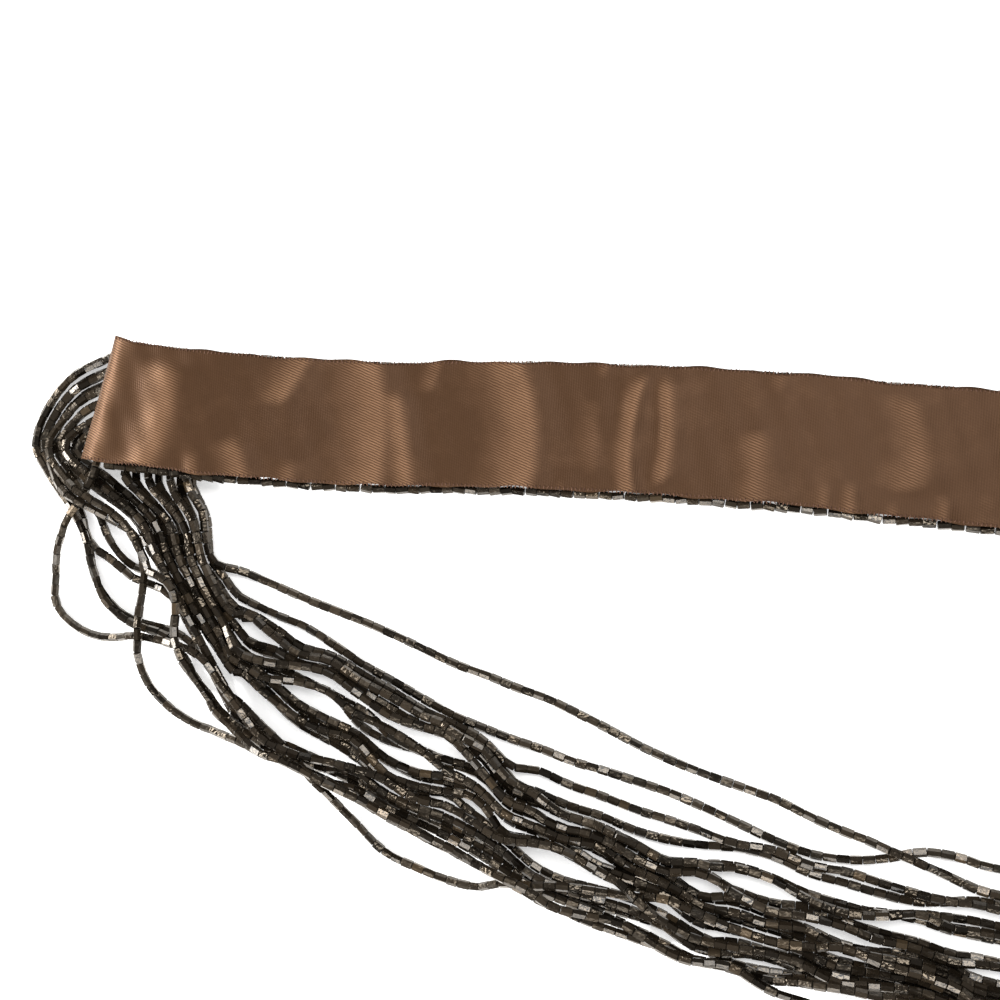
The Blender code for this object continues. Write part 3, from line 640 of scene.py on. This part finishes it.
def make_band_beads(material):
    """The face's rows of sewn beads and the two edge rows, each joined to one mesh."""
    front = row_beads(FRONT_ROW_X, FRONT_ROW_Y, FRONT_ROW_WOBBLE, FRONT_ROW_SEED)
    back = row_beads(BACK_ROW_X, BACK_ROW_Y, BACK_ROW_WOBBLE, BACK_ROW_SEED)
    finish_piece(make_beads("front_row_beads", front, material), "beads", "bead_row_front")
    finish_piece(make_beads("back_row_beads", back, material), "beads", "bead_row_back")
    face = []
    for i in range(FACE_ROWS):
        y = FRONT_ROW_Y + (i + 1) * (BACK_ROW_Y - FRONT_ROW_Y) / (FACE_ROWS + 1)
        face += row_beads(strip_x(y) + FACE_PAST_STRIP, y, FACE_ROW_WOBBLE, FACE_ROW_SEED + i)
    finish_piece(make_beads("face_beads", face, material), "beads", "bead_face")


def folds(x, y):
    """Height and painted sheen of the ribbon's folds, for arrays of places on the near half.

    The painted sheen, a highlight laid into the satin's colour, lies on each fold's near flank, up to its
    ridge, where the satin turns to the light.
    """
    height = np.zeros_like(x)
    sheen = np.zeros_like(x)
    across = y / RIBBON_WIDTH
    for front, middle, back, near, far, high, from_y, to_y in FOLDS:
        bend = 2 * (front + back) - 4 * middle
        line = front + (4 * middle - 3 * front - back) * across + bend * across * across
        away = x - line
        fade = np.clip((y - from_y) / FOLD_FADE, 0, 1) * np.clip((to_y - y) / FOLD_FADE, 0, 1)
        fade = fade * fade * (3 - 2 * fade)
        height += high * fade * np.exp(-(away / np.where(away < 0, near, far)) ** 2)
        lit = np.where(away < 0, SHEEN_REACH * near, SHEEN_PAST_RIDGE * far)
        sheen += min(1, SHEEN_GAIN * high) * fade * np.exp(-(away / lit) ** 2)
    return height, np.clip(sheen, 0, 1)


def ribbon_place(x, y):
    """Arrays of places on the ribbon's top for places along and across it."""
    near = np.where(x <= HALF, x, BELT_LENGTH - x)
    lift = np.array([band_lift(value) for value in near.ravel()]).reshape(near.shape)
    side = np.array([sway(value) for value in near.ravel()]).reshape(near.shape)
    from_end = near - END_X - END_SLANT * y
    curl = END_CURL * np.exp(-np.maximum(from_end, 0) / END_CURL_REACH)
    z = lift + SHELL_TOP + folds(near, y)[0] - curl
    for high, along, across in RIPPLES:
        z = z + high * np.sin(near * along + y * across)
    flare = END_FLARE * (y / RIBBON_WIDTH) ** 3 * np.exp(-(from_end / END_FLARE_REACH) ** 2)
    return x, y + side + flare, z


def make_ribbon(material):
    """The satin ribbon: a thin shell with its listed folds, its edges a little uneven."""
    columns, rows = RIBBON_COLUMNS, RIBBON_ROWS
    u, v = np.meshgrid(np.linspace(0, 1, columns + 1), np.linspace(0, 1, rows + 1), indexing="ij")
    y = v * RIBBON_WIDTH
    start = END_X + END_SLANT * y
    x = start + u * (BELT_LENGTH - 2 * start)
    near = np.where(x <= HALF, x, BELT_LENGTH - x)
    edge = np.clip((np.abs(v - 0.5) * 2 - 1 + EDGE_SHARE) / EDGE_SHARE, 0, 1)
    uneven = sum(wide * np.sin(near * along + shift) for wide, along, shift in EDGE_WAVES)
    px, py, pz = ribbon_place(x, y + np.sign(v - 0.5) * edge * uneven)
    verts = np.stack([px.ravel(), py.ravel(), pz.ravel()], axis=1)
    index = np.arange((columns + 1) * (rows + 1)).reshape(columns + 1, rows + 1)
    faces = np.stack([index[:-1, :-1], index[1:, :-1], index[1:, 1:], index[:-1, 1:]], axis=-1)
    ribbon = new_mesh("ribbon", verts, faces.reshape(-1, 4).tolist(), material, smooth=True)
    # Painted sheen for the satin's colour: the folds' sheen, and a painted highlight along the ribbon's ends
    end_sheen = END_SHEEN * np.exp(-((near - start) / END_SHEEN_REACH) ** 2)
    sheen = ribbon.data.attributes.new("sheen", "FLOAT", "POINT")
    sheen.data.foreach_set("value", np.maximum(folds(near, y)[1], end_sheen).ravel())
    layer = ribbon.data.uv_layers.new(name="cloth")
    loops = np.array([loop.vertex_index for loop in ribbon.data.loops])
    flat = np.stack([x.ravel() / UV_SIZE, y.ravel() / UV_SIZE], axis=1)
    layer.data.foreach_set("uv", flat[loops].ravel())
    wall = ribbon.modifiers.new("wall", "SOLIDIFY")
    wall.thickness = SHELL_WALL * MM
    wall.offset = -1
    finish_piece(ribbon, "satin", "satin_ribbon")


def make_ticks(material):
    """Selvedge stitches: small loops of thread over both edges of the ribbon."""
    chance = random.Random(TICK_SEED)
    verts = []
    faces = []
    for edge_y, outward in ((TICK_INSET, -1), (RIBBON_WIDTH - TICK_INSET, 1)):
        start = END_X + END_SLANT * edge_y + TICK_START
        count = int((BELT_LENGTH - 2 * start) / TICK_PITCH)
        x = start + TICK_PITCH * np.arange(count + 1)
        _, middle_y, middle_z = ribbon_place(x, np.full_like(x, edge_y))
        for px, py, pz in zip(x, middle_y, middle_z):
            reach = chance.uniform(*TICK_REACH)
            lean = chance.uniform(-TICK_LEAN, TICK_LEAN)
            faces += tube_faces(len(verts), len(TICK_RINGS), TICK_SIDES)
            for share, size in TICK_RINGS:
                height = pz + TICK_RISE - TICK_DROP * max(0.0, share) ** 2
                for i in range(TICK_SIDES):
                    angle = math.tau * i / TICK_SIDES
                    verts.append(Vector((px + lean * share + size * math.cos(angle),
                                         py + outward * share * reach,
                                         height + size * math.sin(angle))))
    finish_piece(new_mesh("selvedge_stitches", verts, faces, material, smooth=True), "satin")


def rounded_square(angle):
    """A place on a square outline with round corners, from -1 to 1 each way."""
    return [math.copysign(abs(value) ** 0.5, value) for value in (math.cos(angle), math.sin(angle))]


def make_root_tapes(material):
    """The two narrow tapes that the strands are sewn into, rounded and ribbed by their thread."""
    top = END_LIFT + FACE_THICKNESS - SEAM_GAP
    middle = (top + STRIP_BOTTOM) / 2
    half_height = (top - STRIP_BOTTOM) / 2
    rings = 2 * TAPE_RIBS + 1
    for end, sign in (("left", 1), ("right", -1)):
        verts = []
        for ring in range(rings):
            y = STRIP_FROM_Y + (STRIP_TO_Y - STRIP_FROM_Y) * ring / (rings - 1)
            size = TAPE_WAIST if ring % 2 else 1.0
            x = strip_x(y) if sign > 0 else BELT_LENGTH - strip_x(y)
            for i in range(TAPE_SIDES):
                over, up = rounded_square(math.tau * (i + 0.5) / TAPE_SIDES)
                verts.append(Vector((x + sign * size * over * STRIP_WIDTH / 2, y,
                                     middle + size * up * half_height)))
        faces = tube_faces(0, rings, TAPE_SIDES, flip=sign > 0)
        tape = new_mesh("root_tape_" + end, verts, faces, material, smooth=True)
        finish_piece(tape, "satin", "strands_" + end)


def set_inputs(node, values):
    for key, value in values.items():
        node.inputs[key].default_value = value


def new_material(name, shader_inputs):
    """A new material with its shader's plain inputs set, and short ways to add and link nodes."""
    material = bpy.data.materials.new(name)
    material.use_nodes = True
    tree = material.node_tree
    shader = tree.nodes["Principled BSDF"]
    set_inputs(shader, shader_inputs)

    def add(kind, inputs=None, **settings):
        node = tree.nodes.new(kind)
        for key, value in settings.items():
            setattr(node, key, value)
        set_inputs(node, inputs or {})
        return node

    return material, shader, add, tree.links.new


def set_ramp(ramp, first, second, *others):
    """The stops of a colour ramp, each its position and colour."""
    elements = ramp.color_ramp.elements
    elements[0].position, elements[0].color = first
    elements[1].position, elements[1].color = second
    for position, colour in others:
        elements.new(position).color = colour


def satin_material():
    """Brown satin with its sheen painted into its colour: a slanted twill where the painted sheen is strong,
    fine cross ribs where it is dull.
    """
    material, shader, add, link = new_material("brown_satin", {
        "Metallic": 0.3,
        "Roughness": 0.44,
        "Anisotropic": 0.7,
        "Anisotropic Rotation": 0.25,
        "Specular IOR Level": 0.1,
    })
    place = add("ShaderNodeTexCoord")
    twill_place = add("ShaderNodeMapping", {"Scale": IN_MM, "Rotation": (0, 0, math.radians(TWILL_TURN))})
    link(place.outputs["Object"], twill_place.inputs["Vector"])
    twill = add("ShaderNodeTexWave",
                {"Scale": WAVE_PER_MM / TWILL_PITCH, "Distortion": 1.2, "Detail": 1.0, "Detail Scale": 1.6},
                wave_type="BANDS", bands_direction="Y")
    link(twill_place.outputs["Vector"], twill.inputs["Vector"])
    rib_place = add("ShaderNodeMapping", {"Scale": IN_MM})
    link(place.outputs["Object"], rib_place.inputs["Vector"])
    ribs = add("ShaderNodeTexWave",
               {"Scale": WAVE_PER_MM / RIB_PITCH, "Distortion": 0.8, "Detail Scale": 0.8},
               wave_type="BANDS", bands_direction="X")
    link(rib_place.outputs["Vector"], ribs.inputs["Vector"])

    # Where the sheen is painted: the folds' sheen attribute and a soft cloud of chance
    cloud = add("ShaderNodeTexNoise", {"Scale": 0.16, "Detail": 3})
    link(rib_place.outputs["Vector"], cloud.inputs["Vector"])
    sheen = add("ShaderNodeAttribute", attribute_name="sheen")
    cloudy = add("ShaderNodeMath", {1: 0.5, 2: -0.25}, operation="MULTIPLY_ADD")
    link(cloud.outputs["Fac"], cloudy.inputs[0])
    shine = add("ShaderNodeMath", operation="ADD", use_clamp=True)
    link(sheen.outputs["Fac"], shine.inputs[0])
    link(cloudy.outputs[0], shine.inputs[1])

    # The weave turns from faint ribs to twill as the painted sheen grows
    faint_ribs = add("ShaderNodeMapRange", {"To Min": 0.3, "To Max": 0.68})
    link(ribs.outputs["Fac"], faint_ribs.inputs["Value"])
    turned = add("ShaderNodeMath", {1: 2.0, 2: 0.15}, operation="MULTIPLY_ADD", use_clamp=True)
    link(shine.outputs[0], turned.inputs[0])
    weave = add("ShaderNodeMix", data_type="FLOAT")
    link(turned.outputs[0], weave.inputs["Factor"])
    link(faint_ribs.outputs["Result"], weave.inputs[2])
    link(twill.outputs["Fac"], weave.inputs[3])

    # Painted highlight: the colour rises towards SATIN_LIGHT with the sheen, times the weave's threads
    threads = add("ShaderNodeMapRange", {"To Min": 0.18})
    link(weave.outputs[0], threads.inputs["Value"])
    lit = add("ShaderNodeMapRange", {"To Min": 0.17, "To Max": 0.86})
    link(shine.outputs[0], lit.inputs["Value"])
    tone = add("ShaderNodeMath", operation="MULTIPLY")
    link(threads.outputs["Result"], tone.inputs[0])
    link(lit.outputs["Result"], tone.inputs[1])
    ramp = add("ShaderNodeValToRGB")
    set_ramp(ramp, (0.0, SATIN_DARK), (1.0, SATIN_LIGHT))
    link(tone.outputs[0], ramp.inputs["Fac"])
    link(ramp.outputs["Color"], shader.inputs["Base Color"])
    bump = add("ShaderNodeBump", {"Strength": 0.6, "Distance": 0.0001})
    link(weave.outputs[0], bump.inputs["Height"])
    link(bump.outputs["Normal"], shader.inputs["Normal"])
    tangent = add("ShaderNodeTangent", direction_type="UV_MAP", uv_map="cloth")
    link(tangent.outputs["Tangent"], shader.inputs["Tangent"])
    return material


def thread_material():
    """Brown sewing thread, a little uneven in colour."""
    material, shader, add, link = new_material("brown_thread", {"Roughness": 0.7, "Specular IOR Level": 0.2})
    place = add("ShaderNodeTexCoord")
    noise = add("ShaderNodeTexNoise", {"Scale": 900})
    link(place.outputs["Object"], noise.inputs["Vector"])
    ramp = add("ShaderNodeValToRGB")
    set_ramp(ramp, (0.3, THREAD_DARK), (0.7, THREAD_LIGHT))
    link(noise.outputs["Fac"], ramp.inputs["Fac"])
    link(ramp.outputs["Color"], shader.inputs["Base Color"])
    return material


def bead_material():
    """Dark bronze cut glass: each bead has its own tone, uneven facets, dull ends and painted shade at its
    ends.

    The tone attribute holds a bead's chance colour in red, its chance roughness in green, and 1 in blue
    at its ends, where shade between the beads is painted in as darker colour.
    """
    material, shader, add, link = new_material("cut_glass_bead", {
        "Metallic": 0.3,
        "Specular IOR Level": 0.6,
        "Specular Tint": BEAD_GLINT,
        "Coat Weight": 0.3,
        "Coat Roughness": 0.04,
    })
    tone = add("ShaderNodeAttribute", attribute_name="tone")
    split = add("ShaderNodeSeparateColor")
    link(tone.outputs["Color"], split.inputs["Color"])
    # Painted shade: at a bead's ends the tone falls to BEAD_DARK, standing for shade between the beads
    body = add("ShaderNodeMath", {0: 1.0}, operation="SUBTRACT")
    link(split.outputs["Blue"], body.inputs[1])
    toned = add("ShaderNodeMath", operation="MULTIPLY")
    link(split.outputs["Red"], toned.inputs[0])
    link(body.outputs[0], toned.inputs[1])
    ramp = add("ShaderNodeValToRGB")
    set_ramp(ramp, (0.0, BEAD_DARK), (0.95, BEAD_MIDDLE), (0.99, BEAD_GOLD))
    link(toned.outputs[0], ramp.inputs["Fac"])
    link(ramp.outputs["Color"], shader.inputs["Base Color"])
    rough = add("ShaderNodeMapRange", {"To Min": 0.12, "To Max": 0.34})
    link(split.outputs["Green"], rough.inputs["Value"])
    dull_ends = add("ShaderNodeMath", {1: 0.5}, operation="MULTIPLY_ADD")
    link(split.outputs["Blue"], dull_ends.inputs[0])
    link(rough.outputs["Result"], dull_ends.inputs[2])
    link(dull_ends.outputs[0], shader.inputs["Roughness"])
    place = add("ShaderNodeTexCoord")
    noise = add("ShaderNodeTexNoise", {"Scale": 1100, "Detail": 1})
    link(place.outputs["Object"], noise.inputs["Vector"])
    bump = add("ShaderNodeBump", {"Strength": 0.5, "Distance": 0.0003})
    link(noise.outputs["Fac"], bump.inputs["Height"])
    link(bump.outputs["Normal"], shader.inputs["Normal"])
    return material


def floor_material():
    """Plain matte white, lit a little from below like a light table."""
    return new_material("pale_floor", {
        "Base Color": FLOOR_WHITE,
        "Roughness": 0.9,
        "Specular IOR Level": 0.0,
        "Emission Color": (1, 1, 1, 1),
        "Emission Strength": FLOOR_GLOW,
    })[0]


def make_floor():
    mesh = bpy.data.meshes.new("floor")
    shape = bmesh.new()
    bmesh.ops.create_grid(shape, x_segments=1, y_segments=1, size=FLOOR_SIZE)
    shape.to_mesh(mesh)
    shape.free()
    mesh.materials.append(floor_material())
    floor = bpy.data.objects.new("floor", mesh)
    bpy.context.scene.collection.objects.link(floor)


def design(x, y, z):
    """A place in metres from one in design millimetres."""
    return Vector(((x - HALF) * MM, (y + ORIGIN_Y) * MM, z * MM))


def aim(thing, at, target, roll=0.0):
    """Place a light or camera and turn its view to a target."""
    way = (target - at).normalized()
    thing.location = at
    thing.rotation_mode = "QUATERNION"
    level = Vector((-math.sin(math.radians(roll)), math.cos(math.radians(roll)), 0))
    back = -way
    right = level.cross(back).normalized()
    up = back.cross(right)
    turn = Matrix((right, up, back)).transposed()
    thing.rotation_quaternion = turn.to_quaternion()


def make_camera():
    data = bpy.data.cameras.new("camera")
    data.lens = CAMERA_LENS
    data.sensor_width = CAMERA_SENSOR
    data.clip_start = CAMERA_CLIP
    camera = bpy.data.objects.new("camera", data)
    aim(camera, design(*CAMERA_AT), design(*CAMERA_LOOKS_AT), CAMERA_ROLL)
    bpy.context.scene.collection.objects.link(camera)
    bpy.context.scene.camera = camera


def make_light(name, at, target, size, power):
    data = bpy.data.lights.new(name, "AREA")
    data.shape = "RECTANGLE"
    data.size, data.size_y = size
    data.energy = power
    light = bpy.data.objects.new(name, data)
    aim(light, design(*at), design(*target))
    bpy.context.scene.collection.objects.link(light)


def make_studio():
    """Soft light: panels from the left, the front and above, in an even white room."""
    world = bpy.data.worlds.new("white_room")
    world.use_nodes = True
    set_inputs(world.node_tree.nodes["Background"], {"Color": (1, 1, 1, 1), "Strength": ROOM_LIGHT})
    bpy.context.scene.world = world
    bpy.context.scene.view_settings.view_transform = "Standard"
    for row in LIGHTS:
        make_light(*row)


def main():
    satin = satin_material()
    thread = thread_material()
    beads = bead_material()
    make_ribbon(satin)
    make_ticks(thread)
    make_band_beads(beads)
    make_strings(lay_bead_strings(), beads)
    make_root_tapes(thread)
    make_floor()
    make_camera()
    make_studio()


main()
